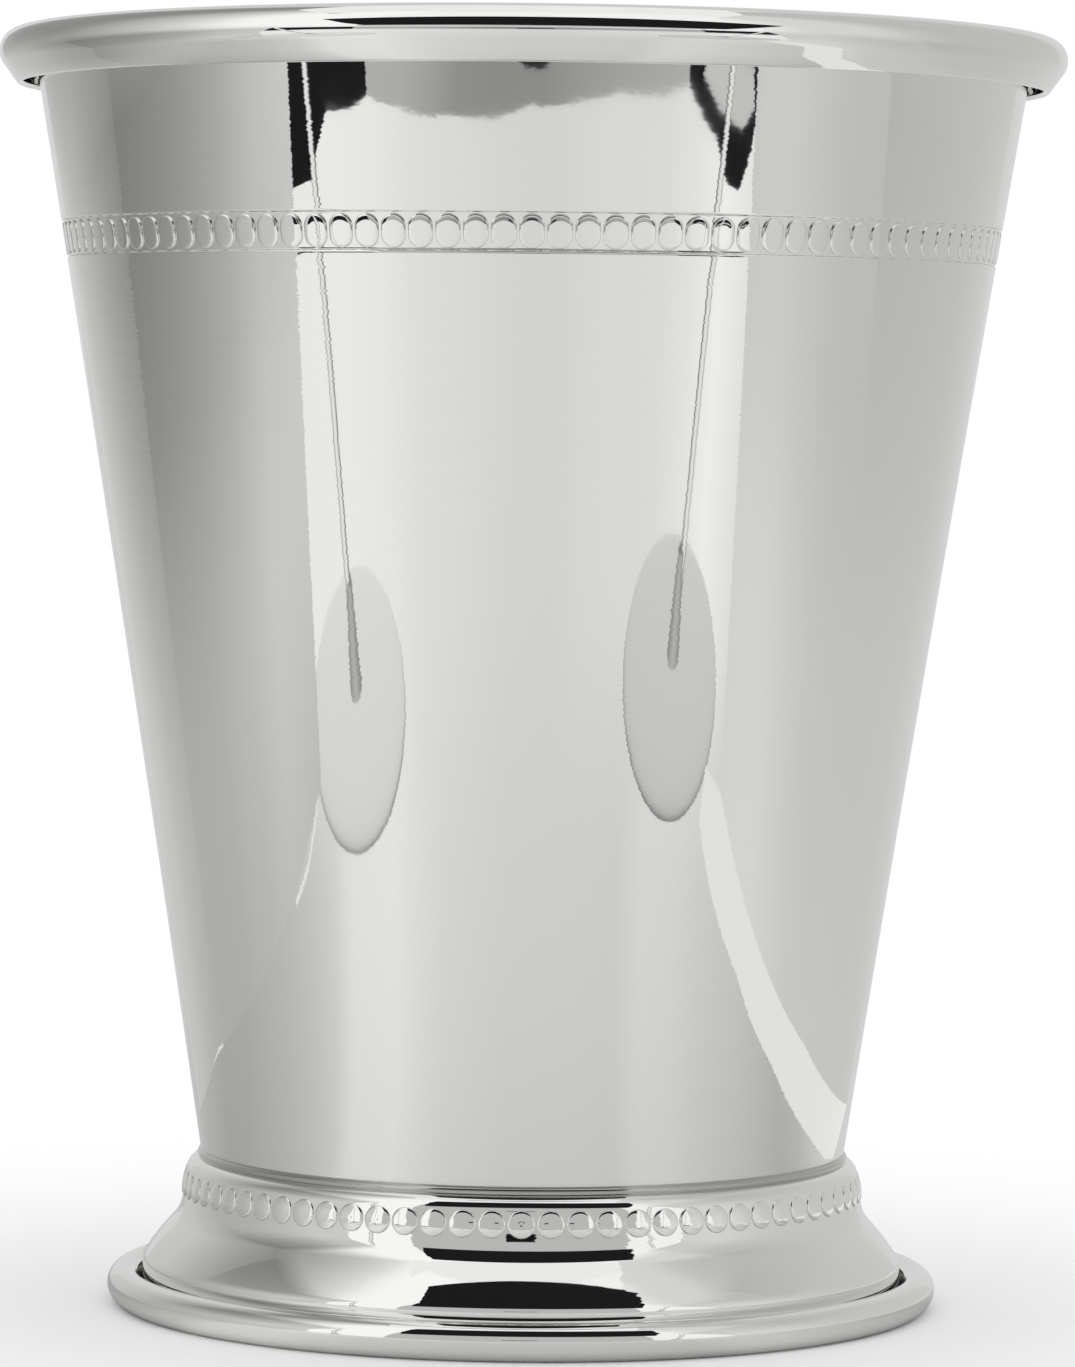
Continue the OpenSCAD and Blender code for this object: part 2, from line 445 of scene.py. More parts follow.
@dataclass
class CupSheet:
    """The drawn and spun cup: floor, wall with its stud band, and the rolled rim. Millimetres and degrees."""

    sheet: float = 0.7
    base_r: float = BASE_R
    corner_in_r: float = 0.25
    wall_flare: float = 0.45
    roll_r: float = 1.83
    lip_angle: float = 36.0
    flank: float = 1.9
    band_drop: float = 16.2
    band_h: float = 3.1
    groove: float = 0.16
    groove_edge: float = 0.07
    stud_count: int = 112
    stud_gap: float = 0.2
    border_gap: float = 0.17
    wall_steps: int = 30
    top_steps: int = 6
    first_ring: float = 0.003
    last_ring: float = 0.01
    stud_sides: int = 30
    stud_root: float = 0.05
    stud_wall: float = 0.03
    stud_crown: Pairs = ((0.02, 0.05), (0.03, 0.035), (0.04, 0.022), (0.05, 0.012), (0.12, 0.011), (0.16, 0.008),
                         (0.22, 0.003), (0.3, 0.001))

    def __post_init__(self) -> None:
        """Works out the bends and the wall's curve from the frame and the sizes."""
        low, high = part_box("cup_body")
        self.rim_r = high.x / MM
        self.top_z = high.z / MM
        self.floor_z = low.z / MM
        self.corner_r = self.corner_in_r + self.sheet
        self.corner = Vector((self.base_r - self.corner_r, self.floor_z + self.corner_r))
        self.roll = Vector((self.rim_r - self.roll_r, self.top_z - self.roll_r))
        run = self.roll - self.corner
        turn = math.asin((self.corner_r + self.roll_r - self.sheet) / run.length)
        mean = math.degrees(math.atan2(run.x, run.y) - turn)
        self.lean_low = mean - self.wall_flare
        self.lean_high = mean + self.wall_flare
        self.start = self.corner + self.corner_r * unit(-self.lean_low)
        self.end = self.roll - (self.roll_r - self.sheet) * unit(-self.lean_high)
        up_low, up_high = unit(90 - self.lean_low), unit(90 - self.lean_high)
        gap = self.end - self.start
        reach = (gap.x * up_high.y - gap.y * up_high.x) / (up_low.x * up_high.y - up_low.y * up_high.x)
        self.knee = self.start + up_low * reach

    def wall_at(self, share: float) -> tuple[Vector, Vector]:
        """Finds a place on the wall's outer face.

        Args:
            share: Share of the wall's curve, from floor to rim.

        Returns:
            The point and the normal there.
        """
        point = (1 - share) ** 2 * self.start + 2 * share * (1 - share) * self.knee + share * share * self.end
        along = ((1 - share) * (self.knee - self.start) + share * (self.end - self.knee)).normalized()
        return point, Vector((along.y, -along.x))

    def share_at(self, height: float) -> float:
        """Finds where the wall's curve reaches a height.

        Args:
            height: Height above the table.

        Returns:
            Share of the curve, from floor to rim.
        """
        rise = height - self.start.y
        slope = 2 * (self.knee.y - self.start.y)
        curve = self.start.y - 2 * self.knee.y + self.end.y
        return 2 * rise / (slope + math.sqrt(slope * slope + 4 * curve * rise))

    def smooth_face(self) -> SheetFace:
        """Draws the outer face without the band.

        Returns:
            Floor, corner, wall, the inner side of the roll and its flank.
        """
        face = SheetFace()
        face.line(Vector((0, self.floor_z)), Vector((self.corner.x, self.floor_z)), unit(-90),
                  (0, 0.2, 0.4, 0.6, 0.8, 0.95, 0.995))
        face.bend(self.corner, self.corner_r, -90, -self.lean_low)
        low, high = self.band_shares()
        steps = [low * i / self.wall_steps for i in range(self.wall_steps)]
        steps[0] = low * self.first_ring
        steps += [low, high]
        steps += [high + (1 - high) * i / self.top_steps for i in range(1, self.top_steps)]
        steps.append(1 - (1 - high) * self.last_ring)
        for share in steps:
            face.add(*self.wall_at(share))
        face.bend(self.roll, self.sheet - self.roll_r, -self.lean_high, -180 - self.lip_angle)
        flank_end = face.points[-1] - self.flank * unit(self.lip_angle).yx
        face.line(face.points[-1], flank_end, face.normals[-1], (0.04, 0.5, 1))
        return face

    def band_shares(self) -> tuple[float, float]:
        """Shares of the wall's curve at the band's lower and upper border."""
        upper = self.top_z - self.band_drop
        return self.share_at(upper - self.band_h), self.share_at(upper)

    def band(self) -> tuple[Vector, Vector, Vector]:
        """Finds the band's straight stretch.

        Returns:
            Its lower border, its upper border and its outward normal.
        """
        low, high = (self.wall_at(share)[0] for share in self.band_shares())
        along = (high - low).normalized()
        return low, high, Vector((along.y, -along.x))

    def band_groove(self) -> list[Vector]:
        """Draws the sunk ground of the band between its two rounded steps.

        Returns:
            Points from under the lower border to over the upper one.
        """
        low, high, out = self.band()
        along = (high - low).normalized()
        edge, deep = self.groove_edge, self.groove
        steps = ((-3.0, 0), (-1.0, 0.02), (-0.3, 0.12), (0.2, 0.4), (0.55, 0.75), (1.0, 0.95), (1.6, 1.0), (3.2, 1.0))
        down = [low + along * edge * s - out * deep * d for s, d in steps]
        up = [high - along * edge * s - out * deep * d for s, d in reversed(steps)]
        return down + up

    def section(self) -> list[Vector]:
        """Draws the section of the whole sheet.

        Returns:
            Points from the axis under the floor to the axis above it.
        """
        face = self.smooth_face()
        inner = face.other_face(self.sheet)
        low = self.band()[0]
        first = min(range(len(face.points)), key=lambda i: (face.points[i] - low).length)
        outer = face.points[:first] + self.band_groove() + face.points[first + 2:]
        return outer + round_end(outer[-1], inner[-1]) + inner[::-1]

    def model(self) -> bpy.types.Object:
        """Models the cup with its studs.

        Returns:
            The finished piece.
        """
        body = spin_sheet("cup_sheet", self.section())
        low, high, out = self.band()
        middle = (low + high) / 2
        width = math.tau * middle.x / self.stud_count - self.stud_gap
        height = (high - low).length - 2 * self.border_gap
        rings = ((0, self.stud_wall - self.groove), *self.stud_crown)
        stud = raise_cap("stud", self.stud_sides, width / 2, height - width, self.groove + self.stud_root, rings)
        set_round(stud, middle, math.degrees(math.atan2(out.y, out.x)), self.stud_count)
        join(body, stud)
        return body


@dataclass
class FootSheet:
    """The spun foot: land, shoulder with its beads, cove, flange and the rolled edge. Millimetres and degrees."""

    sheet: float = 0.6
    base_r: float = BASE_R
    land_w: float = 6.4
    waist_step: float = 1.15
    shoulder_r: float = 1.35
    zone_w: float = 2.65
    zone_lean: float = 8.0
    zone_hollow: float = 2.0
    zone_lead: float = 0.5
    cove_share: float = 0.5
    flange_bow_r: float = 23.0
    edge_z: float = 3.65
    edge_r: float = 1.2
    roll_r: float = 1.8
    roll_top_r: float = 1.45
    lip_angle: float = 138.0
    rest_flat: float = 0.07
    bead_count: int = 75
    bead_r: float = 1.15
    bead_drop: float = 2.25
    bead_sides: int = 24
    hollow_slack: float = 0.02
    roll_slack: float = 0.03
    least_inward: float = -0.05
    least_down: float = -0.5
    bead_crown: Pairs = ((0, 0.0), (0.03, 0.04), (0.05, 0.035), (0.07, 0.025), (0.1, 0.018), (0.2, 0.034),
                         (0.2, 0.027), (0.17, 0.013), (0.13, 0.004), (0.09, -0.004))

    def __post_init__(self) -> None:
        """Works out the bends from the frame and the sizes."""
        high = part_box("foot")[1]
        self.foot_r = high.x / MM
        self.land_z = high.z / MM
        self.land_r = self.base_r + self.waist_step - self.shoulder_r
        self.shoulder = Vector((self.land_r, self.land_z - self.shoulder_r))
        out = unit(self.zone_lean)
        self.zone_down = unit(self.zone_lean - 90)
        self.zone_top = self.shoulder + self.shoulder_r * out
        zone_low = self.zone_top + self.zone_w * self.zone_down
        roll_z = self.roll_r - self.rest_flat
        self.roll = Vector((self.foot_r - self.roll_r, roll_z))
        self.roll_top = Vector((self.foot_r - self.roll_top_r, roll_z))
        self.neck_r = self.foot_r - 2 * self.roll_r + self.sheet
        self.edge = Vector((self.neck_r - self.edge_r, self.edge_z))
        gap = zone_low - self.edge
        largest = (gap.length_squared - self.edge_r**2) / (2 * (self.edge_r - gap.dot(out)))
        self.cove_r = self.cove_share * largest
        self.cove = zone_low + self.cove_r * out
        gap = self.cove - self.edge
        bow = self.flange_bow_r - self.edge_r
        reach = self.cove_r + self.flange_bow_r
        turn = math.acos((reach**2 - gap.length_squared - bow**2) / (2 * bow * gap.length))
        self.edge_lean = math.degrees(math.atan2(gap.y, gap.x) - turn)
        self.flange = self.edge - bow * unit(self.edge_lean)
        gap = self.cove - self.flange
        self.cove_lean = math.degrees(math.atan2(gap.y, gap.x))

    def face(self) -> SheetFace:
        """Draws the upper and outer face of the sheet.

        Returns:
            The face, from the land's inner edge to the lip inside the roll.
        """
        face = SheetFace()
        start = Vector((self.land_r - self.land_w, self.land_z))
        face.line(start, Vector((self.land_r, self.land_z)), unit(90), (0.01, 0.3, 0.7, 0.99))
        low = self.zone_lean - self.zone_hollow
        face.bend(self.shoulder, self.shoulder_r, 90, low)
        hollow_r = self.zone_w / math.radians(2 * self.zone_hollow)
        zone = face.points[-1] + hollow_r * unit(low)
        face.bend(zone, -hollow_r, low + self.zone_lead, self.zone_lean + self.zone_hollow, 1.0)
        face.bend(self.cove, -self.cove_r, self.zone_lean + 2 * self.zone_hollow, self.cove_lean, 3.0)
        face.bend(self.flange, self.flange_bow_r, self.cove_lean, self.edge_lean, 2.0)
        face.bend(self.edge, self.edge_r, self.edge_lean, 0)
        face.line(face.points[-1], Vector((self.neck_r, self.roll.y)), unit(0), (0.05, 0.5, 0.95))
        face.bend(self.roll, self.sheet - self.roll_r, 0, 180)
        face.bend(self.roll_top, self.sheet - self.roll_top_r, 180, 180 + self.lip_angle)
        return face

    def section(self) -> list[Vector]:
        """Draws the section of the sheet, dressed flat where it rests.

        Returns:
            Points of the closed outline.
        """
        face = self.face()
        other = face.other_face(self.sheet)
        closed = face.points + round_end(face.points[-1], other[-1]) + other[::-1]
        closed += round_end(other[0], face.points[0]) + [face.points[0]]
        return [Vector((p.x, max(p.y, 0.0))) for p in closed]

    def model(self) -> bpy.types.Object:
        """Models the foot with its beads.

        Returns:
            The finished piece.
        """
        body = spin_sheet("foot_sheet", self.section())
        bead = raise_cap("bead", self.bead_sides, self.bead_r, 0, self.sheet / 2, self.bead_crown)
        drop = (self.zone_top.y - self.land_z + self.bead_drop) / math.cos(math.radians(self.zone_lean))
        set_round(bead, self.zone_top + drop * self.zone_down, self.zone_lean, self.bead_count)
        join(body, bead)
        return body

    def is_inside(self, face: bpy.types.MeshPolygon) -> bool:
        """Tells whether a face lies in the hollow of the foot or inside its roll, where nobody buffs it.

        Args:
            face: Face of the finished foot.

        Returns:
            True for such a face.
        """
        middle, normal = face.center / MM, face.normal
        place = Vector((math.hypot(middle.x, middle.y), middle.z))
        outward = (normal.x * middle.x + normal.y * middle.y) / place.x
        in_hollow = place.x < self.neck_r - self.sheet + self.hollow_slack and place.y > self.roll.y
        in_roll = (place - self.roll).length < self.roll_r - self.sheet + self.roll_slack and place.y < self.roll.y
        in_roll_top = (place - self.roll_top).length < self.roll_top_r - self.sheet + self.roll_slack
        faces_in = outward < self.least_inward or normal.z < self.least_down
        return in_roll or in_roll_top or in_hollow and faces_in


@dataclass
class SolderRing:
    """The round of solder in the crevice between the cup's corner and the land. Millimetres and degrees."""

    round_d: float = 0.8
    rise: float = 0.22
    step: int = 20

    def model(self, foot: FootSheet) -> bpy.types.Object:
        """Models the ring.

        Args:
            foot: The foot that carries it.

        Returns:
            The finished piece.
        """
        middle = Vector((foot.land_r, foot.land_z + self.rise))
        turn = [middle + self.round_d / 2 * unit(angle) for angle in range(0, 361, self.step)]
        return spin_sheet("solder_ring", turn)


@dataclass(frozen=True)
class Photograph:
    """Camera that took the reference: where it stood, and how it was turned, in radians."""

    distance_mm: float = 525.38
    height_mm: float = 76.77
    focal_px: float = 6126.45
    yaw: float = 0.00169
    pitch: float = 0.04465
    roll: float = 0.01079
    sensor_mm: float = 36.0
    nearest_mm: float = 10.0

    def place_camera(self) -> None:
        """Makes the camera and gives it to the scene."""
        lens = bpy.data.cameras.new("camera")
        lens.sensor_width = self.sensor_mm
        lens.lens = self.focal_px / PHOTO_HEIGHT * self.sensor_mm
        lens.clip_start = self.nearest_mm * MM
        camera = bpy.data.objects.new("camera", lens)
        turned = Matrix.Rotation(-self.yaw, 4, "Z") @ Matrix.Rotation(math.pi / 2 - self.pitch, 4, "X")
        turned = turned @ Matrix.Rotation(self.roll, 4, "Z")
        camera.matrix_world = Matrix.Translation((0, -self.distance_mm * MM, self.height_mm * MM)) @ turned
        bpy.context.scene.collection.objects.link(camera)
        bpy.context.scene.camera = camera


@dataclass(frozen=True)
class Patch:
    """A patch of the room past the table, as the cup mirrors it.

    It has a brightness and its borders in degrees: to the right of the camera as seen from the cup, and above level.
    """

    brightness: float
    turn: tuple[float, float]
    rise: tuple[float, float]
    soft: float = 1.0


@dataclass(frozen=True)
class Ramp:
    """Brightness along a share from 0 to 1: pairs of a share and the brightness there, up to the brightest."""

    stops: Pairs = ((0, 1), (1, 1))
    brightest: float = 2.0

    def value(self, bench: NodeBench, share: bpy.types.NodeSocket) -> bpy.types.NodeSocket:
        """Adds the ramp's nodes.

        Args:
            bench: Bench of the material.
            share: Share from 0 to 1.

        Returns:
            The brightness.
        """
        ramp = bench.add("ShaderNodeFloatCurve", {"Value": share})
        curve = ramp.mapping.curves[0]
        for i, (position, value) in enumerate(self.stops):
            point = curve.points[i] if i < 2 else curve.points.new(position, value / self.brightest)
            point.location = (position, value / self.brightest)
            point.handle_type = "VECTOR"
        ramp.mapping.update()
        scaled = bench.add("ShaderNodeMath", {0: ramp.outputs[0], 1: self.brightest}, operation="MULTIPLY")
        return scaled.outputs[0]


def stage_for_gloss(thing: bpy.types.Object, bench: NodeBench, brightness: Any) -> None:
    """Gives a staged thing its brightness as a glow, a painted reflection, and hides it from all but what polished
    surfaces mirror.

    Args:
        thing: The card, cloth or stand.
        bench: Bench of its material.
        brightness: Socket or value of its brightness.
    """
    glow = bench.add("ShaderNodeEmission", {"Strength": brightness})
    bench.add("ShaderNodeOutputMaterial", {"Surface": glow.outputs[0]})
    thing.visible_camera = thing.visible_diffuse = thing.visible_shadow = False


@dataclass(frozen=True)
class Panel:
    """An upright panel of the tent, from one place on the table to another. Sizes in millimetres.

    Its brightness, the tent's painted light and shade, runs along it in one way low down and in another high up, times
    a ramp from its foot to its top, which is given at the panel's start and at its end. The panel leans forward up to a
    seam and is upright above it.
    Half of the ramp lies below the seam.
    """

    name: str
    start: tuple[float, float]
    end: tuple[float, float]
    low: Ramp = Ramp()
    high: Ramp = Ramp()
    upward: tuple[Ramp, Ramp] = (Ramp(), Ramp())
    lean: float = 0.0
    seam: float = 110.0
    height: float = 300.0
    change: tuple[float, float] = (0.38, 0.56)

    def hang(self) -> None:
        """Makes the panel."""
        lay_down_tools()
        bpy.ops.mesh.primitive_grid_add(x_subdivisions=1, y_subdivisions=2, size=2 * MM)
        panel = bpy.context.object
        panel.name = self.name
        corners = [(x, y - self.lean * min(height, self.seam), height) for height in (0, self.seam, self.height)
                   for x, y in (self.start, self.end)]
        for vertex, corner in zip(panel.data.vertices, corners):
            vertex.co = Vector(corner) * MM
        material, bench = new_material(self.name)
        shares = bench.add("ShaderNodeSeparateXYZ", {"Vector": bench.add("ShaderNodeTexCoord").outputs["UV"]})
        low, high = (ramp.value(bench, shares.outputs["X"]) for ramp in (self.low, self.high))
        rising = bench.add("ShaderNodeMapRange", {
            "Value": shares.outputs["Y"], "From Min": self.change[0], "From Max": self.change[1]},
            interpolation_type="SMOOTHSTEP")
        along = bench.add("ShaderNodeMix", {"Factor": rising.outputs[0], 2: low, 3: high})
        near, far = (ramp.value(bench, shares.outputs["Y"]) for ramp in self.upward)
        upward = bench.add("ShaderNodeMix", {"Factor": shares.outputs["X"], 2: near, 3: far})
        both = bench.add("ShaderNodeMath", {0: along.outputs[0], 1: upward.outputs[0]}, operation="MULTIPLY")
        panel.data.materials.append(material)
        stage_for_gloss(panel, bench, both.outputs[0])


@dataclass(frozen=True)
class Cloth:
    """A flat piece, of one brightness or with a ramp across its width. Sizes in millimetres.

    A corner without a height of its own lies just over the table.
    """

    name: str
    brightness: float | Ramp
    corners: tuple[tuple[float, ...], ...]
    height: float = 0.3
    width: tuple[float, float] = (-254.0, 240.0)

    def lay(self) -> None:
        """Makes the piece."""
        lay_down_tools()
        bpy.ops.mesh.primitive_circle_add(vertices=len(self.corners), radius=MM, fill_type="NGON")
        cloth = bpy.context.object
        cloth.name = self.name
        for vertex, corner in zip(cloth.data.vertices, self.corners):
            vertex.co = Vector((*corner, self.height)[:3]) * MM
        material, bench = new_material(self.name)
        cloth.data.materials.append(material)
        brightness: Any = self.brightness
        if isinstance(brightness, Ramp):
            place = bench.add("ShaderNodeSeparateXYZ", {"Vector": bench.add("ShaderNodeTexCoord").outputs["Object"]})
            share = bench.add("ShaderNodeMapRange", {
                "Value": place.outputs["X"], "From Min": self.width[0] * MM, "From Max": self.width[1] * MM})
            brightness = brightness.value(bench, share.outputs[0])
        stage_for_gloss(cloth, bench, brightness)


@dataclass(frozen=True)
class LampStand:
    """Domed foot and pole of a table lamp, which the wall mirrors. Millimetres and degrees."""

    name: str
    x: float
    y: float
    brightness: float
    pole_tilt: float
    foot_d: float = 89.0
    foot_h: float = 2.0
    socket_r: float = 6.0
    socket_h: float = 13.5
    pole_d: float = 4.4
    pole_h: float = 95.0
    away: float = 0.15
    sides: int = 48
    foot_sides: int = 64

    def stand(self) -> None:
        """Makes the foot, the pole's socket and the pole, with painted shading: lighter where they face the cup or the
        lamp.
        """
        lay_down_tools()
        x, y = self.x * MM, self.y * MM
        bpy.ops.mesh.primitive_uv_sphere_add(
            segments=self.foot_sides, ring_count=self.foot_sides // 2, radius=self.foot_d / 2 * MM, location=(x, y, 0))
        foot = bpy.context.object
        foot.scale.z = 2 * self.foot_h / self.foot_d
        bpy.ops.object.shade_smooth()
        bpy.ops.mesh.primitive_cone_add(
            vertices=self.sides, radius1=self.socket_r * MM, radius2=self.pole_d / 2 * MM, depth=self.socket_h * MM,
            location=(x, y, self.socket_h / 2 * MM))
        socket = bpy.context.object
        bpy.ops.object.shade_smooth_by_angle(angle=TURNED_EDGE)
        reach = self.pole_h / 2 * math.tan(math.radians(self.pole_tilt))
        bpy.ops.mesh.primitive_cylinder_add(
            vertices=self.sides, radius=self.pole_d / 2 * MM, depth=self.pole_h * MM,
            location=((self.x + reach) * MM, y, self.pole_h / 2 * MM), rotation=(0, math.radians(self.pole_tilt), 0))
        pole = bpy.context.object
        bpy.ops.object.shade_smooth_by_angle(angle=TURNED_EDGE)
        # Painted shading: each part glows lighter or darker by which way its surface faces.
        to_cup = Vector((-self.x, -self.y, 0)).normalized()
        up_and_away = (Vector((0, 0, 1)) - self.away * to_cup).normalized()
        top = self.brightness
        for part, thing, faced, stops in (
            ("foot", foot, up_and_away, (
                (0, 0.2), (0.85, 0.5 * top), (0.94, 0.78 * top), (0.975, 0.94 * top), (0.99, top), (1, 1.06 * top))),
            ("socket", socket, to_cup, ((0, 0.25), (0.5, 0.33), (0.85, 0.45), (1, 0.55))),
            ("pole", pole, to_cup, ((0, 0.1), (0.55, 0.14), (0.8, 0.8), (1, 0.95))),
        ):
            thing.name = f"{self.name}_{part}"
            material, bench = new_material(thing.name)
            normal = bench.add("ShaderNodeNewGeometry").outputs["Normal"]
            facing = bench.add("ShaderNodeVectorMath", {0: normal, 1: faced}, operation="DOT_PRODUCT")
            thing.data.materials.append(material)
            stage_for_gloss(thing, bench, Ramp(stops).value(bench, facing.outputs["Value"]))


@dataclass
class Studio:
    """Pale table, soft light from all round, and what the cup mirrors of the tent that it was photographed in.

    A white sheet lies on the table, with panels of the tent left and right of the cup and two lamp stands before it.
    The tent is open toward the camera, where the room is dark past the sheet. Sizes in millimetres.
    """

    table: float = 6000.0
    table_colour: str = "#FDFDFD"
    fade: tuple[float, float] = (40.0, 130.0)
    near_to_far: tuple[float, float] = (130.0, 220.0)
    tent: float = 0.72
    # Painted light and shade of the table as polished surfaces mirror it: degrees round from the front and brightness,
    # near the cup and far from it.
    near_table: Pairs = (
        (-180, 0.65), (-125, 0.54), (-110, 0.49), (-95, 0.51), (-85, 0.56), (-75, 0.61), (-65, 0.69), (-57, 0.78),
        (-50, 0.96), (-37, 0.99), (-29, 0.91), (-22, 0.85), (-5, 0.8), (15, 0.79), (25, 0.78), (33, 0.86),
        (42, 0.84), (50, 0.78), (57, 0.74), (65, 0.7), (75, 0.64), (85, 0.57), (95, 0.6), (105, 0.7), (120, 0.8),
        (180, 0.65))
    far_table: Pairs = (
        (-180, 0.7), (-120, 0.6), (-70, 1.0), (-45, 1.02), (-35, 0.98), (-28, 0.91), (-15, 0.86), (-5, 0.82),
        (6, 0.81), (15, 0.85), (30, 0.87), (38, 0.95), (45, 1.06), (52, 0.95), (60, 0.78), (120, 0.68), (180, 0.7))
    room: tuple[Patch, ...] = (
        Patch(1.02, (-190, 190), (58, 100), 4),
        Patch(1.14, (-60, -36.5), (-90, 68), 2),
        Patch(1.08, (36, 60), (-90, 68), 2),
        Patch(1.1, (-37, 36), (38, 68), 2),
        Patch(0.585, (-37, 36), (-90, 38), 0.7),
        Patch(0.01, (-5, 5), (9.7, 11.9), 0.1),
    )

    def panels(self) -> list[Panel]:
        """Lists the tent's panels.

        Returns:
            One panel on each side, each followed by the one from there to the back.
        """
        left, right = (-103, 44), (104, 14)
        level = (0, 0.014, 0.09, 0.136, 0.18, 0.227, 0.27, 0.33, 0.41, 0.5, 1)

        def upward(*values: float) -> Ramp:
            """Ramp with these values at the levels, and 1 at the two highest ones."""
            return Ramp(tuple(zip(level, (*values, 1.0, 1.0))))

        return [
            Panel(
                "tent_left", (-142.0, -86.6), left,
                Ramp(((0, 0.69), (0.3, 0.7), (0.4, 0.66), (0.5, 0.61), (0.6, 0.58), (0.7, 0.54), (0.8, 0.52),
                      (0.9, 0.51), (1, 0.52))),
                Ramp(((0, 1.15), (0.26, 1.13), (0.4, 1.05), (0.56, 0.85), (0.7, 0.7), (0.85, 0.55), (1, 0.4))),
                (upward(0.88, 0.9, 1.0, 1.05, 1.06, 1.04, 1.02, 1.06, 1.02),
                 upward(1.0, 1.0, 1.0, 0.97, 0.88, 0.76, 0.63, 0.55, 0.5)), 0.36),
            Panel(
                "tent_left_back", left, (-64, 90),
                Ramp(((0, 0.51), (0.1, 0.535), (0.3, 0.58), (0.45, 0.62), (0.55, 0.65), (0.75, 0.67), (1, 0.71))),
                Ramp(((0, 0.38), (0.3, 0.31), (0.75, 0.33), (1, 0.42))),
                (upward(1.0, 1.02, 1.06, 1.03, 0.95, 0.86, 0.76, 0.68, 0.6),
                 upward(0.88, 0.9, 0.94, 0.97, 1.0, 1.0, 1.02, 1.01, 1.0)), 0.36),
            Panel(
                "tent_right", (134, -93), right,
                Ramp(((0, 0.79), (0.15, 0.81), (0.35, 0.81), (0.45, 0.79), (0.55, 0.76), (0.65, 0.73), (0.75, 0.7),
                      (0.85, 0.68), (1, 0.67))),
                Ramp(((0, 1.05), (0.2, 0.95), (0.47, 0.82), (0.87, 0.8), (1, 0.72))),
                (upward(1.0, 1.0, 1.0, 0.98, 0.94, 0.9, 0.9, 0.91, 0.92),
                 upward(1.04, 1.04, 1.0, 1.0, 0.98, 0.95, 0.92, 0.92, 0.92)), 0.48),
            Panel(
                "tent_right_back", right, (69, 92),
                Ramp(((0, 0.66), (0.3, 0.66), (0.6, 0.665), (1, 0.69))),
                Ramp(((0, 0.7), (0.3, 0.6), (1, 0.62))),
                (upward(1.06, 1.06, 1.03, 1.01, 1.0, 0.96, 0.92, 0.88, 0.84),
                 upward(0.95, 0.96, 0.98, 0.99, 1.0, 1.0, 0.98, 0.98, 1.0)), 0.48),
        ]

    def cloths(self) -> list[Cloth]:
        """Lists the flat pieces.

        Returns:
            The tent's dark cover, the painted light along the panels' feet and what lies past the sheet's front edge.
        """
        return [
            Cloth("tent_cover", 0.014, ((-126, -200, 112), (147, -200, 112), (77, -78, 140), (-58, -78, 140))),
            # A dark patch on the table straight ahead, past the sheet's front edge.
            Cloth("dark_front_patch", 0.03, (
                (-26, -412), (-14, -408.5), (4, -407.2), (20, -408.5), (30, -412), (34, -520), (-30, -520)), 0.4),
            Cloth("light_right", 0.93, (
                (129, -108), (114, -99), (108, -81), (104, -63), (102, -48), (97, -35), (91, -14), (83, 2), (74, 20),
                (60, 45), (69, 92), (87, 59), (99, 30), (107, 6), (114, -18), (120, -36), (125, -53), (129, -72),
                (134, -93))),
            # Painted light: two bright strips along the feet of the left panels.
            Cloth("painted_light_left", 1.0, (
                (-143, -84), (-136, -73), (-130, -62), (-127, -47), (-125, -47), (-128, -61), (-134, -72),
                (-141, -83))),
            Cloth("painted_light_left_back", 0.85, (
                (-104, 38), (-102, 45), (-95, 57), (-85, 70), (-84, 69), (-93, 56), (-100.5, 44), (-102.5, 38))),
            Cloth("dark_left", 0.014, (
                (-335, -220), (-317, -249), (-318, -268), (-316, -293), (-277, -317), (-254, -335), (-762, -1005),
                (-1340, -880))),
            Cloth("grey_front", Ramp((
                (0, 0.52), (0.1, 0.5), (0.2, 0.42), (0.28, 0.34), (0.4, 0.32), (0.55, 0.33), (0.65, 0.38),
                (0.8, 0.44), (1, 0.5))), (
                (-254, -335), (-199, -352), (-122, -372), (-6, -391), (69, -389), (130, -383), (240, -350),
                (720, -1050), (-762, -1005))),
            Cloth("dark_right", 0.014, (
                (240, -350), (257, -325), (272, -304), (276, -279), (287, -260), (304, -264), (323, -267),
                (343, -277), (1372, -1108), (720, -1050))),
            Cloth("pale_right", 0.66, (
                (265, -345), (283, -315), (314, -285), (340, -281), (352, -300), (300, -352)), 0.4),
        ]

    def light(self) -> None:
        """Lights the scene with soft white light, in which polished surfaces mirror the room past the table."""
        world = bpy.data.worlds.new("studio")
        world.use_nodes = True
        world.node_tree.nodes.clear()
        bench = NodeBench(world.node_tree)
        place = bench.add("ShaderNodeSeparateXYZ", {"Vector": bench.add("ShaderNodeTexCoord").outputs["Generated"]})
        turn = turn_from_front(bench, place)
        rise = bench.add("ShaderNodeMath", {0: place.outputs["Z"]}, operation="ARCSINE").outputs[0]
        seen = self.tent
        for patch in self.room:
            share = 1.0
            for angle, (low, high) in ((turn, patch.turn), (rise, patch.rise)):
                for border, half in ((low, patch.soft / 2), (high, -patch.soft / 2)):
                    inside = bench.add("ShaderNodeMapRange", {
                        "Value": angle, "From Min": math.radians(border - half),
                        "From Max": math.radians(border + half)}, interpolation_type="SMOOTHSTEP")
                    share = bench.add("ShaderNodeMath", {
                        0: inside.outputs[0], 1: share}, operation="MULTIPLY").outputs[0]
            seen = bench.add("ShaderNodeMix", {"Factor": share, 2: seen, 3: patch.brightness}).outputs[0]
        mirrored = bench.add("ShaderNodeLightPath").outputs["Is Glossy Ray"]
        strength = bench.add("ShaderNodeMix", {"Factor": mirrored, 2: 1.0, 3: seen})
        light = bench.add("ShaderNodeBackground", {"Color": (1, 1, 1, 1), "Strength": strength.outputs[0]})
        bench.add("ShaderNodeOutputWorld", {"Surface": light.outputs[0]})
        bpy.context.scene.world = world

